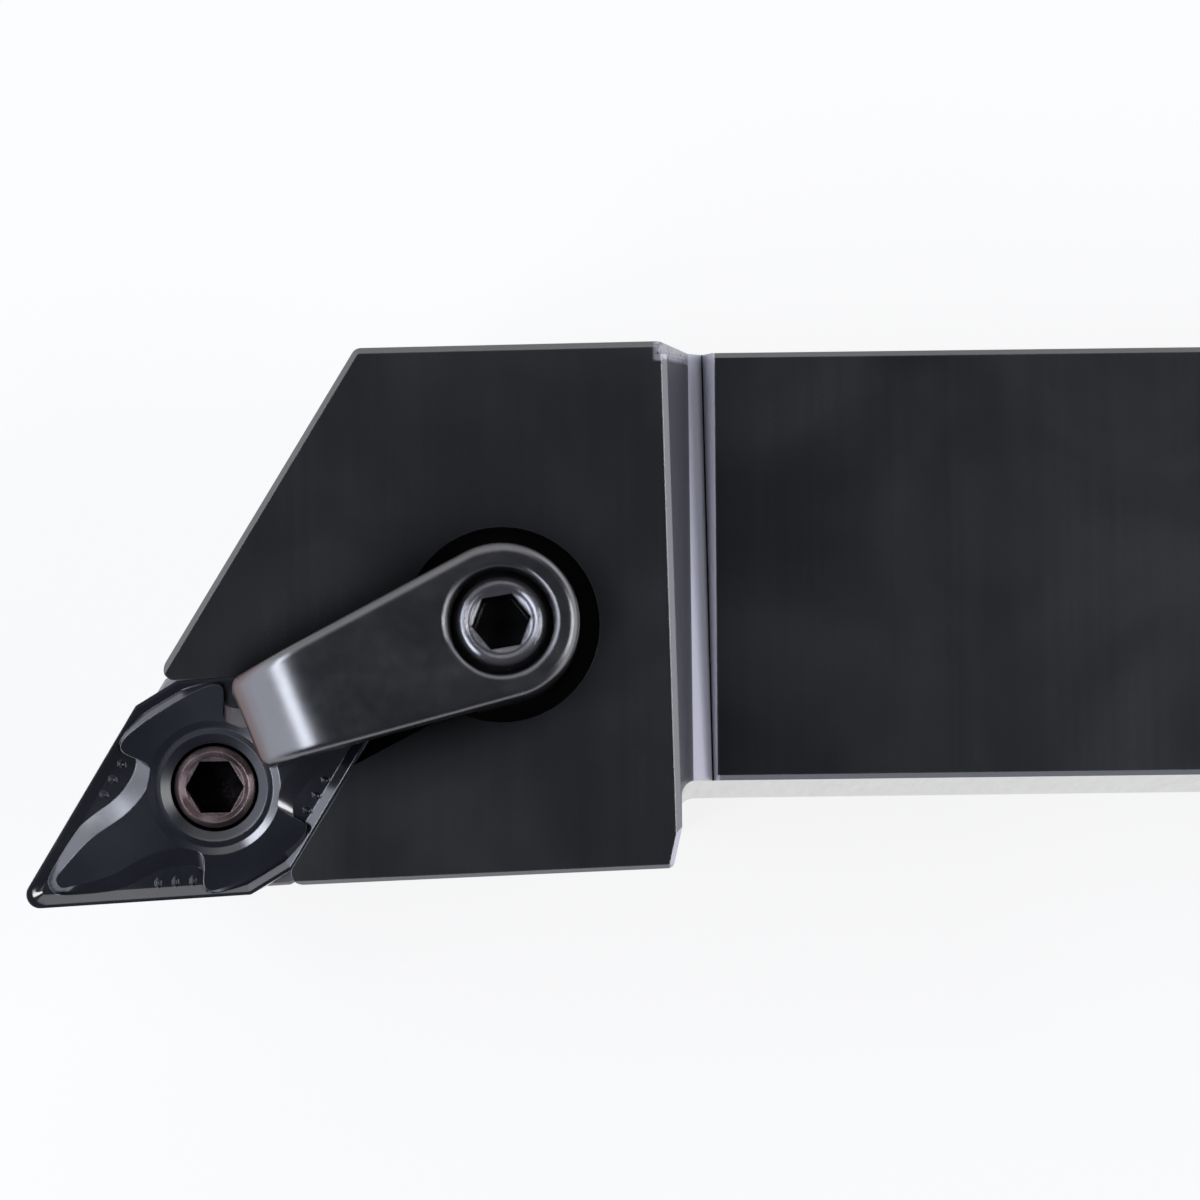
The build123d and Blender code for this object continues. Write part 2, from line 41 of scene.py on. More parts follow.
# %% Camera
aim = Vector((-41.4, -1.9, 25.0)) * mm
frame_width = 69.97 * mm
camera_distance = 500 * mm
camera_elevation = math.radians(86.3)
camera_roll = math.radians(0.7)
sensor_width = 36.0

toward_camera = Vector((0, -math.cos(camera_elevation), math.sin(camera_elevation)))
level_right = Vector((1, 0, 0))
level_up = toward_camera.cross(level_right)
camera_right = level_right * math.cos(camera_roll) - level_up * math.sin(camera_roll)
camera_up = level_right * math.sin(camera_roll) + level_up * math.cos(camera_roll)

camera_data = bpy.data.cameras.new("camera")
camera_data.sensor_width = sensor_width
camera_data.lens = sensor_width * camera_distance / frame_width
camera_data.clip_start = 10 * mm
camera_data.clip_end = 5
camera = bpy.data.objects.new("camera", camera_data)
bpy.context.collection.objects.link(camera)
camera_axes = Matrix((camera_right, camera_up, toward_camera)).transposed()
camera.matrix_world = Matrix.Translation(aim + toward_camera * camera_distance) @ camera_axes.to_4x4()
bpy.context.scene.camera = camera
print("lens", round(camera_data.lens, 1), "mm")

# %% [markdown]
# ## Node helpers
#
# Every finish below is a small tree of nodes. A few helpers keep the trees short to write. They add a node
# and fill its sockets, do sums, map ranges, mix colours, and start a node group with named sockets. A
# socket's value may be a plain number or the output of another node, which is then linked.

# %% Node helpers
def plug(tree, socket, value):
    """Links value into socket if it is another node's output, and sets it otherwise."""
    if isinstance(value, bpy.types.NodeSocket):
        tree.links.new(value, socket)
    else:
        socket.default_value = value


def add_node(tree, kind, sockets=None, **settings):
    """A new node with its settings made and its input sockets filled by name or number."""
    made = tree.nodes.new(kind)
    for name, value in settings.items():
        setattr(made, name, value)
    for name, value in (sockets or {}).items():
        plug(tree, made.inputs[name], value)
    return made


def calculate(tree, operation, first, second=0.0, clamp=False):
    """The output of a math node."""
    made = add_node(tree, "ShaderNodeMath", {0: first, 1: second}, operation=operation, use_clamp=clamp)
    return made.outputs[0]


def map_range(tree, value, low, high, to_low=0.0, to_high=1.0, smooth=False):
    """The output of a clamped map range node."""
    kind = "SMOOTHSTEP" if smooth else "LINEAR"
    sockets = {"Value": value, "From Min": low, "From Max": high, "To Min": to_low, "To Max": to_high}
    return add_node(tree, "ShaderNodeMapRange", sockets, interpolation_type=kind).outputs["Result"]


def mix_colour(tree, amount, first, second):
    """The colour between first and second."""
    made = add_node(tree, "ShaderNodeMix", data_type="RGBA", clamp_factor=True)
    plug(tree, made.inputs[0], amount)
    plug(tree, made.inputs[6], first)
    plug(tree, made.inputs[7], second)
    return made.outputs[2]


def split_place(tree):
    """The X, Y and Z outputs of the place on the part."""
    place = add_node(tree, "ShaderNodeTexCoord").outputs["Object"]
    return add_node(tree, "ShaderNodeSeparateXYZ", {0: place}).outputs


def split_facing(tree):
    """The X, Y and Z outputs of the direction in which the face looks."""
    normal = add_node(tree, "ShaderNodeNewGeometry").outputs["Normal"]
    return add_node(tree, "ShaderNodeSeparateXYZ", {0: normal}).outputs


def start_group(name, inputs, outputs):
    """An empty shader node group with sockets, its input node and its output node."""
    group = bpy.data.node_groups.new(name, "ShaderNodeTree")
    for label, kind, value in inputs:
        group.interface.new_socket(name=label, in_out="INPUT", socket_type=kind).default_value = value
    for label, kind in outputs:
        group.interface.new_socket(name=label, in_out="OUTPUT", socket_type=kind)
    return group, group.nodes.new("NodeGroupInput"), group.nodes.new("NodeGroupOutput")


FLOAT = "NodeSocketFloat"
VECTOR = "NodeSocketVector"

# %% [markdown]
# ## Edges and recesses
#
# No machined edge is perfectly sharp, and that tiny rounding is what catches the light. The Bevel node gives
# the normal that a rounded edge would have, so the group passes it on to the surface. Where it differs from
# the true normal there is an edge, and handling rubs the dark skin off it first; the lighter colour there is
# also a painted highlight. Inner corners differ too, so the Ambient Occlusion node takes them out. The same
# node finds the deep places, which the finishes darken as painted shade. A noise breaks the wear up, because
# it is never even.

# %% Group: edges and recesses
edges_and_recesses, group_in, group_out = start_group(
    "edges and recesses",
    [("Radius", FLOAT, 0.1 * mm), ("Patchiness", FLOAT, 0.5), ("Reach", FLOAT, 1.2 * mm)],
    [("Wear and highlight", FLOAT), ("Deep", FLOAT), ("Normal", VECTOR)],
)
geometry = add_node(edges_and_recesses, "ShaderNodeNewGeometry")
rounded = add_node(edges_and_recesses, "ShaderNodeBevel", {"Radius": group_in.outputs["Radius"]}, samples=4)
likeness = add_node(
    edges_and_recesses,
    "ShaderNodeVectorMath",
    {0: rounded.outputs["Normal"], 1: geometry.outputs["Normal"]},
    operation="DOT_PRODUCT",
)
difference = calculate(edges_and_recesses, "SUBTRACT", 1.0, likeness.outputs["Value"])
edge = map_range(edges_and_recesses, difference, 0.02, 0.12)
openness = add_node(
    edges_and_recesses,
    "ShaderNodeAmbientOcclusion",
    {"Distance": group_in.outputs["Reach"]},
    samples=4,
    only_local=True,
)
outer = map_range(edges_and_recesses, openness.outputs["AO"], 0.6, 0.85)
place = add_node(edges_and_recesses, "ShaderNodeTexCoord")
patches = add_node(
    edges_and_recesses,
    "ShaderNodeTexNoise",
    {"Vector": place.outputs["Object"], "Scale": 900.0, "Detail": 4.0},
)
patchy = map_range(edges_and_recesses, patches.outputs["Fac"], 0.35, 0.65)
whole = calculate(edges_and_recesses, "SUBTRACT", 1.0, group_in.outputs["Patchiness"])
broken = calculate(edges_and_recesses, "MULTIPLY", patchy, group_in.outputs["Patchiness"])
kept = calculate(edges_and_recesses, "ADD", whole, broken)
# This mask marks edges for wear and for a painted highlight.
wear_and_highlight = calculate(edges_and_recesses, "MULTIPLY", calculate(edges_and_recesses, "MULTIPLY", edge, outer), kept)
plug(edges_and_recesses, group_out.inputs["Wear and highlight"], wear_and_highlight)
# The Deep mask marks where painted shade goes.
plug(
    edges_and_recesses,
    group_out.inputs["Deep"],
    map_range(edges_and_recesses, openness.outputs["AO"], 0.75, 0.25, smooth=True),
)
plug(edges_and_recesses, group_out.inputs["Normal"], rounded.outputs["Normal"])
print("group:", edges_and_recesses.name)

# %% [markdown]
# ## Grinding grain
#
# A cutter or a grinding wheel leaves fine parallel lines. A noise squeezed hard in one direction makes them.
# The group puts out their height for a Bump node, and their tone, which makes neighbouring lines a little
# rougher or smoother.

# %% Group: grinding grain
grinding_grain, group_in, group_out = start_group(
    "grinding grain",
    [("Squeeze", VECTOR, (1.0, 1.0, 1.0)), ("Fineness", FLOAT, 1000.0)],
    [("Height", FLOAT), ("Tone", FLOAT)],
)
place = add_node(grinding_grain, "ShaderNodeTexCoord")
squeezed = add_node(
    grinding_grain,
    "ShaderNodeVectorMath",
    {0: place.outputs["Object"], 1: group_in.outputs["Squeeze"]},
    operation="MULTIPLY",
)
lines = add_node(
    grinding_grain,
    "ShaderNodeTexNoise",
    {"Vector": squeezed.outputs[0], "Scale": group_in.outputs["Fineness"], "Detail": 5.0, "Roughness": 0.6},
)
plug(grinding_grain, group_out.inputs["Height"], lines.outputs["Fac"])
plug(grinding_grain, group_out.inputs["Tone"], map_range(grinding_grain, lines.outputs["Fac"], 0.3, 0.7))
print("group:", grinding_grain.name)

# %% [markdown]
# ## Cloudy skin
#
# Oxide and coatings are never one flat tone: the bath or the furnace leaves soft clouds, and a fine speckle
# on top of them. Two noises of very different size are added with their own shares.

# %% Group: cloudy skin
cloudy_skin, group_in, group_out = start_group(
    "cloudy skin",
    [("Cloud size", FLOAT, 80.0), ("Speckle size", FLOAT, 4000.0), ("Speckle share", FLOAT, 0.3)],
    [("Tone", FLOAT), ("Height", FLOAT)],
)
place = add_node(cloudy_skin, "ShaderNodeTexCoord")
clouds = add_node(
    cloudy_skin,
    "ShaderNodeTexNoise",
    {
        "Vector": place.outputs["Object"],
        "Scale": group_in.outputs["Cloud size"],
        "Detail": 3.0,
        "Distortion": 0.4,
    },
)
speckle = add_node(
    cloudy_skin,
    "ShaderNodeTexNoise",
    {"Vector": place.outputs["Object"], "Scale": group_in.outputs["Speckle size"], "Detail": 2.0},
)
cloud_tone = map_range(cloudy_skin, clouds.outputs["Fac"], 0.3, 0.7, smooth=True)
speckle_tone = calculate(cloudy_skin, "SUBTRACT", speckle.outputs["Fac"], 0.5)
added = calculate(cloudy_skin, "MULTIPLY", speckle_tone, group_in.outputs["Speckle share"])
plug(cloudy_skin, group_out.inputs["Tone"], calculate(cloudy_skin, "ADD", cloud_tone, added, clamp=True))
plug(cloudy_skin, group_out.inputs["Height"], speckle.outputs["Fac"])
print("group:", cloudy_skin.name)


# %% [markdown]
# ## One recipe for every finish
#
# All six parts are hard and dense, and each is covered by a skin: black oxide, a tempering colour, a vapour
# coating, or just the marks of grinding. So one function builds the tree, and each part gives it its own
# colours, gloss, grain, wear and painted shade. The clouds move the colour between a dark and a light tone
# and move the roughness with it. Edges show the bare metal below, as wear and as a painted highlight. Deep
# places
# get painted shade: they are darker and mirror less, through the specular level, which the exported model
# doesn't carry. Grain and speckle go into Bump nodes on top of the rounded normal.

# %% The finish recipe
def make_finish(
    name, dark, light, bare_and_highlight, metal, ior, gloss, streak, squeeze, fineness, clouds, edge_and_recess, recess_shade, bump
):
    """A Principled material; gloss holds the roughness of the darkest and of the lightest skin."""
    material = bpy.data.materials.new(name)
    material.use_nodes = True
    tree = material.node_tree
    surface = tree.nodes["Principled BSDF"]

    skin = add_node(tree, "ShaderNodeGroup", node_tree=cloudy_skin)
    plug(tree, skin.inputs["Cloud size"], clouds)
    grain = add_node(tree, "ShaderNodeGroup", node_tree=grinding_grain, name="grain")
    plug(tree, grain.inputs["Squeeze"], squeeze)
    plug(tree, grain.inputs["Fineness"], fineness)
    form = add_node(tree, "ShaderNodeGroup", node_tree=edges_and_recesses)
    plug(tree, form.inputs["Radius"], edge_and_recess["radius"])
    plug(tree, form.inputs["Patchiness"], edge_and_recess["patchiness"])
    plug(tree, form.inputs["Reach"], edge_and_recess["reach"])
    # Edges take the bare colour, as wear and as a painted highlight.
    wear_and_highlight_share = calculate(tree, "MULTIPLY", form.outputs["Wear and highlight"], edge_and_recess["share"])
    # Deep places are darkened as painted shade, and mirror less.
    unshaded_share = calculate(tree, "SUBTRACT", 1.0, calculate(tree, "MULTIPLY", form.outputs["Deep"], recess_shade))

    skin_colour = mix_colour(tree, skin.outputs["Tone"], (*dark, 1), (*light, 1))
    skin_colour = mix_colour(tree, unshaded_share, (0.002, 0.002, 0.002, 1), skin_colour)
    plug(tree, surface.inputs["Base Color"], mix_colour(tree, wear_and_highlight_share, skin_colour, (*bare_and_highlight, 1)))
    plug(tree, surface.inputs["Metallic"], calculate(tree, "MAXIMUM", wear_and_highlight_share, metal))
    skin_shine = map_range(tree, skin.outputs["Tone"], 0.0, 1.0, 0.48, 0.52)
    plug(tree, surface.inputs["Specular IOR Level"], calculate(tree, "MULTIPLY", unshaded_share, skin_shine))
    surface.inputs["IOR"].default_value = ior
    smooth, rough = gloss
    skin_gloss = map_range(tree, skin.outputs["Tone"], 0.0, 1.0, smooth, rough)
    grain_gloss = map_range(tree, grain.outputs["Tone"], 0.0, 1.0, -streak, streak)
    plug(tree, surface.inputs["Roughness"], calculate(tree, "ADD", skin_gloss, grain_gloss, clamp=True))

    grain_bump = add_node(
        tree,
        "ShaderNodeBump",
        {
            "Strength": bump[0],
            "Distance": bump[1],
            "Height": grain.outputs["Height"],
            "Normal": form.outputs["Normal"],
        },
    )
    skin_bump = add_node(
        tree,
        "ShaderNodeBump",
        {
            "Strength": bump[0],
            "Distance": bump[2],
            "Height": skin.outputs["Height"],
            "Normal": grain_bump.outputs["Normal"],
        },
    )
    plug(tree, surface.inputs["Normal"], skin_bump.outputs["Normal"])
    print("material:", name)
    return material


def lay_over(material, socket_name, share, value):
    """Mixes value over what feeds a number or colour socket of the material's shader, by share."""
    tree = material.node_tree
    socket = tree.nodes["Principled BSDF"].inputs[socket_name]
    below = socket.links[0].from_socket
    if socket.type == "RGBA":
        plug(tree, socket, mix_colour(tree, share, below, value))
    else:
        kept = calculate(tree, "MULTIPLY", below, calculate(tree, "SUBTRACT", 1.0, share))
        plug(tree, socket, calculate(tree, "ADD", kept, calculate(tree, "MULTIPLY", share, value)))


def dress(node_name, material):
    """Gives a CAD part its material."""
    slots = nodes[node_name].material_slots
    for slot in slots:
        slot.material = material
    print(node_name, "has", len(slots), "slot(s) of", material.name)


# %% [markdown]
# ## Black oxide on the holder
#
# The holder is milled from alloy steel, hardened and blackened. The oxide is thin and follows the cutter's
# marks, which run across the shank. Magnetite bends light strongly, so its index of refraction is high: the
# skin is nearly black where it mirrors a dark ceiling, and pale where it mirrors a lamp.

# %% Holder: skin
blackened_steel = make_finish(
    "blackened steel",
    dark=(0.004, 0.0045, 0.0052),
    light=(0.0085, 0.009, 0.0105),
    bare_and_highlight=(0.42, 0.42, 0.45),
    metal=0.0,
    ior=2.3,
    gloss=(0.22, 0.27),
    streak=0.010,
    squeeze=(1.0, 0.02, 0.05),
    fineness=2200.0,
    clouds=70.0,
    edge_and_recess={"radius": 0.08 * mm, "patchiness": 0.7, "share": 0.2, "reach": 1.2 * mm},
    recess_shade=0.8,
    bump=(0.1, 0.003 * mm, 0.001 * mm),
)
dress("holder_body", blackened_steel)

# %% [markdown]
# The holder's upright faces are smoother than its top: the shank's are ground, because a machine's turret
# clamps them. The groove behind the head and the slope above it have finishes of their own. All these places
# are found by where they lie and by the direction in which the face looks.

# %% Holder: where its faces lie and look
tree = blackened_steel.node_tree
place = split_place(tree)
facing = split_facing(tree)
along = place["X"]
facing_up = calculate(tree, "ABSOLUTE", facing["Z"])
side = map_range(tree, facing_up, 0.12, 0.05)
ground_gloss = map_range(tree, tree.nodes["grain"].outputs["Tone"], 0.0, 1.0, 0.09, 0.12)
lay_over(blackened_steel, "Roughness", side, ground_gloss)
lay_over(blackened_steel, "Specular IOR Level", side, 0.40)

head_end = -37.6 * mm
shank_start = -34.6 * mm
seam = 0.1 * mm
after_slope = map_range(tree, along, head_end, head_end + seam)
before_shank = map_range(tree, along, shank_start + seam, shank_start)
near_top = map_range(tree, place["Z"], 23.0 * mm, 23.0 * mm + seam)
behind_head = calculate(tree, "MULTIPLY", after_slope, before_shank)
behind_head = calculate(tree, "MULTIPLY", behind_head, near_top)
lower_limit = map_range(tree, facing["Z"], 0.60, 0.65)
upper_limit = map_range(tree, facing["Z"], 0.80, 0.75)
near_facet = calculate(tree, "MULTIPLY", lower_limit, upper_limit)
far_facet = map_range(tree, facing["X"], -0.75, -0.85)
slope = map_range(tree, facing["X"], 0.85, 0.90)
print("holder: groove and sides found")

# %% [markdown]
# The groove is milled last, through the oxide, so its two facets are bare satin steel. The slope above it
# keeps a thin, paler oxide. The cutter tears the steel a little at the back corner, and a noise makes the
# torn patch uneven.

# %% Holder: bare groove, thin oxide
milled_share = calculate(tree, "MULTIPLY", behind_head, calculate(tree, "MAXIMUM", near_facet, far_facet))
lay_over(blackened_steel, "Base Color", milled_share, (0.46, 0.46, 0.52, 1))
lay_over(blackened_steel, "Metallic", milled_share, 0.45)
lay_over(blackened_steel, "Roughness", milled_share, 0.42)
thin_share = calculate(tree, "MULTIPLY", behind_head, slope)
lay_over(blackened_steel, "Base Color", thin_share, (0.12, 0.12, 0.13, 1))
lay_over(blackened_steel, "Metallic", thin_share, 0.6)

torn = add_node(
    tree,
    "ShaderNodeTexNoise",
    {"Vector": tree.nodes["Texture Coordinate"].outputs["Object"], "Scale": 3000.0, "Detail": 4.0},
)
torn_share = map_range(tree, torn.outputs["Fac"], 0.28, 0.52)
torn_share = calculate(tree, "MULTIPLY", torn_share, map_range(tree, place["Y"], 11.75 * mm, 11.95 * mm))
torn_share = calculate(tree, "MULTIPLY", torn_share, map_range(tree, along, -38.2 * mm, -37.9 * mm))
torn_share = calculate(tree, "MULTIPLY", torn_share, calculate(tree, "MULTIPLY", before_shank, near_top))
torn_share = calculate(tree, "MULTIPLY", torn_share, map_range(tree, facing["Z"], 0.15, 0.25))
lay_over(blackened_steel, "Base Color", torn_share, (0.42, 0.42, 0.46, 1))
lay_over(blackened_steel, "Metallic", torn_share, 0.6)
lay_over(blackened_steel, "Roughness", torn_share, 0.35)
print("holder: groove bare, slope pale")

# %% [markdown]
# Painted shade darkens the round seat under the clamp and the head close round the clamp, where the clamp
# blocks the light, and there the surface mirrors almost nothing. An Ambient Occlusion node that also sees the
# other parts finds these sheltered places. The painted shade lies only on faces that look up. The shank's top
# mirrors less just behind the groove, and this dimming fades out further along it.

# %% Holder: painted shade round the clamp, and dimmer shank top
shelter = add_node(tree, "ShaderNodeAmbientOcclusion", {"Distance": 5 * mm}, samples=6, only_local=False)
painted_shade = map_range(tree, shelter.outputs["AO"], 0.97, 0.50, smooth=True)
looks_up = map_range(tree, facing["Z"], 0.85, 0.95)
painted_shade = calculate(tree, "MULTIPLY", painted_shade, looks_up)
# Painted shade round the clamp: darker colour and less mirror.
lay_over(blackened_steel, "Base Color", painted_shade, (0.002, 0.002, 0.002, 1))
lay_over(blackened_steel, "Specular IOR Level", painted_shade, 0.05)
on_shank = map_range(tree, along, shank_start, shank_start + seam)
on_shank = calculate(tree, "MULTIPLY", on_shank, looks_up)
near_groove = map_range(tree, along, -15 * mm, -34 * mm, 0.0, 0.35, smooth=True)
dimmer_near_groove = calculate(tree, "MULTIPLY", on_shank, near_groove)
lay_over(blackened_steel, "Specular IOR Level", dimmer_near_groove, 0.0)
print("holder: oil film in place")

# %% [markdown]
# ## Coated carbide
#
# The insert is pressed and sintered carbide under a blue-black coating a few thousandths of a millimetre
# thick. It is glossier than the steel beside it, and its sharp relief throws narrow highlights, so its
# speckle is very fine.

# %% Insert
coated_carbide = make_finish(
    "coated carbide",
    dark=(0.005, 0.006, 0.009),
    light=(0.008, 0.009, 0.014),
    bare_and_highlight=(0.30, 0.29, 0.30),
    metal=0.0,
    ior=2.05,
    gloss=(0.14, 0.20),
    streak=0.01,
    squeeze=(1.0, 1.0, 1.0),
    fineness=5000.0,
    clouds=160.0,
    edge_and_recess={"radius": 0.07 * mm, "patchiness": 0.8, "share": 0.15, "reach": 1.2 * mm},
    recess_shade=0.5,
    bump=(0.15, 0.0015 * mm, 0.001 * mm),
)
dress("cutting_insert", coated_carbide)

# %% [markdown]
# The mouth of the hole is not coated as evenly as the faces, so it is dull. It is found by its distance from
# the hole's axis.

# %% Insert: dull mouth of the hole
tree = coated_carbide.node_tree
hole_middle = (-63.98 * mm, -12.45 * mm, 0)
from_middle = add_node(
    tree,
    "ShaderNodeVectorMath",
    {0: add_node(tree, "ShaderNodeTexCoord").outputs["Object"], 1: hole_middle},
    operation="SUBTRACT",
)
flat = add_node(
    tree, "ShaderNodeVectorMath", {0: from_middle.outputs[0], 1: (1, 1, 0)}, operation="MULTIPLY"
)
radius = add_node(tree, "ShaderNodeVectorMath", {0: flat.outputs[0]}, operation="LENGTH").outputs["Value"]
mouth = map_range(tree, radius, 3.35 * mm, 3.15 * mm)
lay_over(coated_carbide, "Roughness", mouth, 0.32)
lay_over(coated_carbide, "Specular IOR Level", mouth, 0.25)
print("insert: mouth dulled")

# %% [markdown]
# ## Ground carbide
#
# The shim below the insert is bare carbide, ground on both faces. It is a plain mid grey and only satin,
# because the wheel leaves it finely scratched.

# %% Shim
ground_carbide = make_finish(
    "ground carbide",
    dark=(0.22, 0.21, 0.22),
    light=(0.29, 0.28, 0.29),
    bare_and_highlight=(0.50, 0.49, 0.50),
    metal=0.5,
    ior=1.8,
    gloss=(0.42, 0.52),
    streak=0.04,
    squeeze=(0.05, 1.0, 1.0),
    fineness=2600.0,
    clouds=200.0,
    edge_and_recess={"radius": 0.05 * mm, "patchiness": 0.5, "share": 0.3, "reach": 1.2 * mm},
    recess_shade=0.6,
    bump=(0.3, 0.003 * mm, 0.001 * mm),
)
dress("shim_seat", ground_carbide)

# %% [markdown]
# ## Tempered brown
#
# The lock pin is left with its tempering colour, a brown with a pink cast. It is still a metal to the eye,
# so the brown tints its reflections. Its rim is painted brighter, partly as wear from the key and partly as a
# painted highlight, and its socket is darkened as painted shade.

# %% Lock pin
bronzed_steel = make_finish(
    "bronzed steel",
    dark=(0.15, 0.115, 0.118),
    light=(0.26, 0.20, 0.20),
    bare_and_highlight=(0.66, 0.42, 0.33),
    metal=0.85,
    ior=1.8,
    gloss=(0.20, 0.28),
    streak=0.04,
    squeeze=(1.0, 1.0, 0.1),
    fineness=3000.0,
    clouds=500.0,
    # This rim wear is also a painted highlight, and the long reach lets painted shade darken the whole
    # socket.
    edge_and_recess={"radius": 0.06 * mm, "patchiness": 0.8, "share": 0.5, "reach": 4 * mm},
    recess_shade=0.99,
    bump=(0.25, 0.003 * mm, 0.001 * mm),
)
dress("lock_pin", bronzed_steel)

# %% [markdown]
# ## Forged and blackened
#
# The clamp is drop forged, tumbled and blackened. Tumbling leaves soft edges, a slight orange peel and an
# even satin gloss, with no cutter marks. Its edges are painted a slightly warm grey, partly as rubbed wear
# and partly as a painted highlight.

# %% Clamp
forged_steel = make_finish(
    "forged steel",
    dark=(0.007, 0.007, 0.008),
    light=(0.012, 0.012, 0.013),
    bare_and_highlight=(0.44, 0.41, 0.41),
    metal=0.0,
    ior=2.3,
    gloss=(0.22, 0.26),
    streak=0.02,
    squeeze=(1.0, 1.0, 1.0),
    fineness=1200.0,
    clouds=260.0,
    # Edges take the warm grey as wear and as a painted highlight.
    edge_and_recess={"radius": 0.22 * mm, "patchiness": 0.8, "share": 0.15, "reach": 1.2 * mm},
    recess_shade=0.8,
    bump=(0.2, 0.003 * mm, 0.001 * mm),
)
dress("top_clamp", forged_steel)

# %% [markdown]
# The end of the clamp's nose, on the faces that look forward, is tinted brown and made more metallic.

# %% Clamp: brown end of the nose
tree = forged_steel.node_tree
nose_end = map_range(tree, split_place(tree)["X"], -60.4 * mm, -61.0 * mm)
looks_forward = map_range(tree, split_facing(tree)["X"], -0.55, -0.80)
nose_end = calculate(tree, "MULTIPLY", nose_end, looks_forward)
nose_end = calculate(tree, "MULTIPLY", nose_end, 0.8)
lay_over(forged_steel, "Base Color", nose_end, (0.16, 0.09, 0.08, 1))
lay_over(forged_steel, "Metallic", nose_end, 0.8)
print("clamp: end of the nose tinted")

# %% [markdown]
# ## Screw steel
#
# The screw is turned and blackened. Its grain runs round it, so it is squeezed along the screw's axis.

# %% Screw
screw_steel = make_finish(
    "screw steel",
    dark=(0.008, 0.008, 0.009),
    light=(0.014, 0.014, 0.016),
    bare_and_highlight=(0.55, 0.55, 0.57),
    metal=0.0,
    ior=2.3,
    gloss=(0.18, 0.26),
    streak=0.03,
    squeeze=(0.1, 0.1, 1.0),
    fineness=2600.0,
    clouds=400.0,
    # Its edges take the bare colour as wear and as a painted highlight, and painted shade darkens its deep
    # socket.
    edge_and_recess={"radius": 0.30 * mm, "patchiness": 0.5, "share": 0.3, "reach": 3 * mm},
    recess_shade=0.97,
    bump=(0.25, 0.003 * mm, 0.001 * mm),
)
dress("clamp_screw", screw_steel)

# %% [markdown]
# The flat rim round the screw's socket is painted a light steel colour, a painted highlight. The rim is found
# by its height, and only faces that look up are taken, which leaves the socket's walls dark.

# %% Screw: painted highlight on the rim
tree = screw_steel.node_tree
at_top = map_range(tree, split_place(tree)["Z"], 30.7 * mm, 30.75 * mm)
painted_highlight = calculate(tree, "MULTIPLY", at_top, map_range(tree, split_facing(tree)["Z"], 0.3, 0.5))
# Painted highlight: the rim gets a light steel colour.
lay_over(screw_steel, "Base Color", painted_highlight, (0.30, 0.30, 0.32, 1))
lay_over(screw_steel, "Metallic", painted_highlight, 0.9)
print("screw: rim rubbed")

# %% [markdown]
# ## Sky
#
# Dark glossy steel is drawn by what it mirrors. A flat top mirrors the ceiling over the camera, which is
# dark. A bevel mirrors the walls, and each wall has its own brightness: the left one is bright for half its
# height and fades out above, the back one is bright from just over its dark foot almost to the ceiling, the
# right one is bright in its lower part, and the front one is bright only at its foot. The sky is built the
# same way: four walls, each with its own fade, mixed by direction.

# %% Sky
world = bpy.data.worlds.new("studio")
bpy.context.scene.world = world
world.use_nodes = True
sky = world.node_tree
direction = add_node(sky, "ShaderNodeTexCoord").outputs["Generated"]
pieces = add_node(sky, "ShaderNodeSeparateXYZ", {0: direction})
height = pieces.outputs["Z"]
level = add_node(sky, "ShaderNodeCombineXYZ", {"X": pieces.outputs["X"], "Y": pieces.outputs["Y"]})
bearing = add_node(sky, "ShaderNodeVectorMath", {0: level.outputs[0]}, operation="NORMALIZE")
bearing_pieces = add_node(sky, "ShaderNodeSeparateXYZ", {0: bearing.outputs[0]})
rightward = bearing_pieces.outputs["X"]
backward = bearing_pieces.outputs["Y"]


def paint_wall(foot, top, fade_start, fade_end):
    """A wall's colour, from its foot to its top; the fade's ends are heights of the view direction."""
    return mix_colour(sky, map_range(sky, height, fade_start, fade_end, smooth=True), foot, top)


left_wall = paint_wall((1.50, 1.55, 1.82, 1), (0.04, 0.04, 0.05, 1), 0.50, 0.88)
back_wall = paint_wall((1.00, 1.00, 1.06, 1), (0.04, 0.04, 0.05, 1), 0.80, 0.95)
back_foot = map_range(sky, height, 0.15, 0.05, smooth=True)
back_wall = mix_colour(sky, back_foot, back_wall, (0.04, 0.04, 0.05, 1))
right_wall = paint_wall((1.70, 1.70, 1.90, 1), (0.05, 0.05, 0.06, 1), 0.40, 0.56)
front_wall = paint_wall((1.60, 1.68, 2.10, 1), (0.06, 0.06, 0.07, 1), 0.02, 0.12)
walls = mix_colour(sky, map_range(sky, backward, 0.45, 0.85, smooth=True), left_wall, back_wall)
walls = mix_colour(sky, map_range(sky, rightward, 0.20, 0.65, smooth=True), walls, right_wall)
walls = mix_colour(sky, map_range(sky, backward, -0.45, -0.85, smooth=True), walls, front_wall)
ceiling_share = map_range(sky, height, 0.90, 0.96, smooth=True)
sky_colour = mix_colour(sky, ceiling_share, walls, (0.045, 0.050, 0.060, 1))
plug(sky, sky.nodes["Background"].inputs["Color"], sky_colour)
print("sky ready")


# %% [markdown]
# ## Lamps
#
# Two long soft boxes hang beside the tool. The left one draws the bright band across the clamp's bent nose
# and lights the insert's relief. The right one draws the thin arcs on the heel, on the screw and round its
# hole. A soft box is set by the brightness of its face, and its power follows from that and from its area.

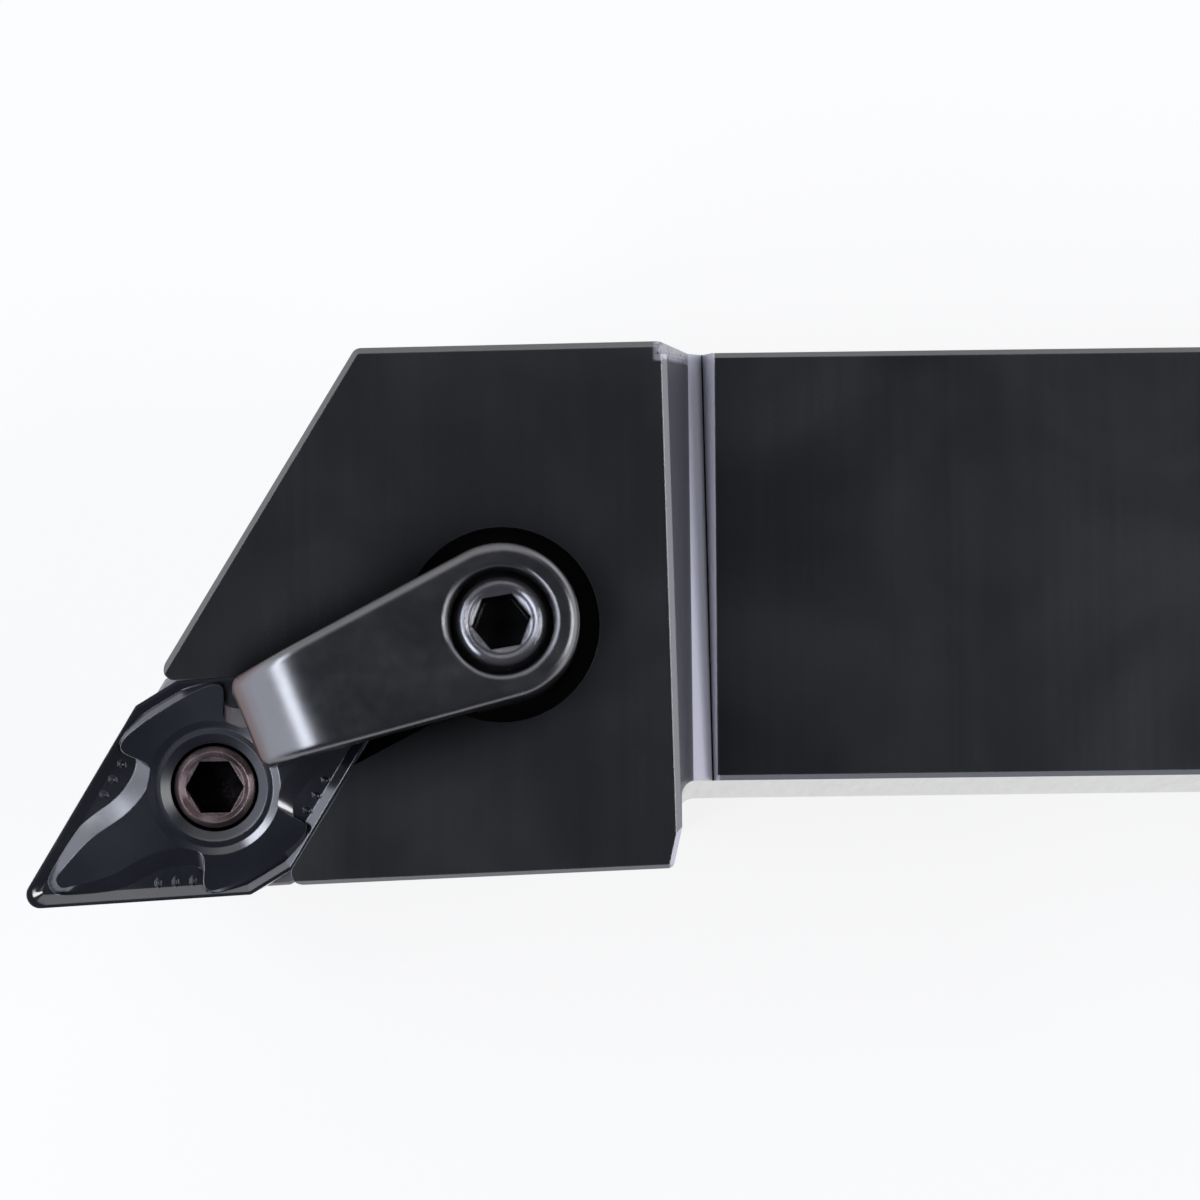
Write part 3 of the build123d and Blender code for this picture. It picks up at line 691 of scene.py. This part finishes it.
# %% Lamps
def hang_soft_box(name, off_vertical, bearing, width, length, brightness, colour, distance=1.0):
    """An area lamp aimed at the clamp. Angles are degrees; bearing 0 is towards +X, 90 towards +Y."""
    lamp = bpy.data.lights.new(name, "AREA")
    lamp.shape = "RECTANGLE"
    lamp.size = width
    lamp.size_y = length
    lamp.energy = brightness * width * length * math.pi
    lamp.color = colour
    holder = bpy.data.objects.new(name, lamp)
    bpy.context.collection.objects.link(holder)
    tilt = math.radians(off_vertical)
    turn = math.radians(bearing)
    away = Vector((math.sin(tilt) * math.cos(turn), math.sin(tilt) * math.sin(turn), math.cos(tilt)))
    across = Vector((math.cos(tilt) * math.cos(turn), math.cos(tilt) * math.sin(turn), -math.sin(tilt)))
    along = away.cross(across)
    holder.matrix_world = (
        Matrix.Translation(aim + away * distance) @ Matrix((across, along, away)).transposed().to_4x4()
    )
    print(name, "gives", round(lamp.energy, 2), "W")


hang_soft_box("left box", 38, 188, 0.22, 1.0, 7.5, (0.84, 0.88, 1.0))
hang_soft_box("right box", 38, 358, 0.26, 0.5, 8.0, (0.97, 0.98, 1.0))

# %% [markdown]
# ## Floor
#
# The tool lies on a pale sheet. To the camera, and to mirror and glass rays, most of the sheet's light is its
# own, at a strength of one, which is white. The rest is lit by the lamps and the sky, and keeps a faint
# shadow round the tool.

# %% Floor
floor_half = 1.5
floor_mesh = bpy.data.meshes.new("floor")
shape = bmesh.new()
bmesh.ops.create_grid(shape, x_segments=1, y_segments=1, size=floor_half)
shape.to_mesh(floor_mesh)
shape.free()
floor = bpy.data.objects.new("floor", floor_mesh)
bpy.context.collection.objects.link(floor)

own_light_share = 0.85
white = (1.0, 1.0, 1.0, 1)
floor_material = bpy.data.materials.new("pale floor")
floor_material.use_nodes = True
floor_tree = floor_material.node_tree
floor_tree.nodes.clear()
rays = add_node(floor_tree, "ShaderNodeLightPath")
paint = add_node(floor_tree, "ShaderNodeBsdfDiffuse", {"Color": (0.86, 0.87, 0.88, 1)})
glow = add_node(floor_tree, "ShaderNodeEmission", {"Color": white, "Strength": 1.0})
seen = calculate(floor_tree, "ADD", rays.outputs["Is Camera Ray"], rays.outputs["Is Glossy Ray"])
seen = calculate(floor_tree, "ADD", seen, rays.outputs["Is Transmission Ray"], clamp=True)
blend = add_node(
    floor_tree,
    "ShaderNodeMixShader",
    {0: calculate(floor_tree, "MULTIPLY", seen, own_light_share), 1: paint.outputs[0], 2: glow.outputs[0]},
)
add_node(floor_tree, "ShaderNodeOutputMaterial", {"Surface": blend.outputs[0]})
floor_mesh.materials.append(floor_material)

bpy.context.scene.view_settings.view_transform = "Standard"
print("floor ready")
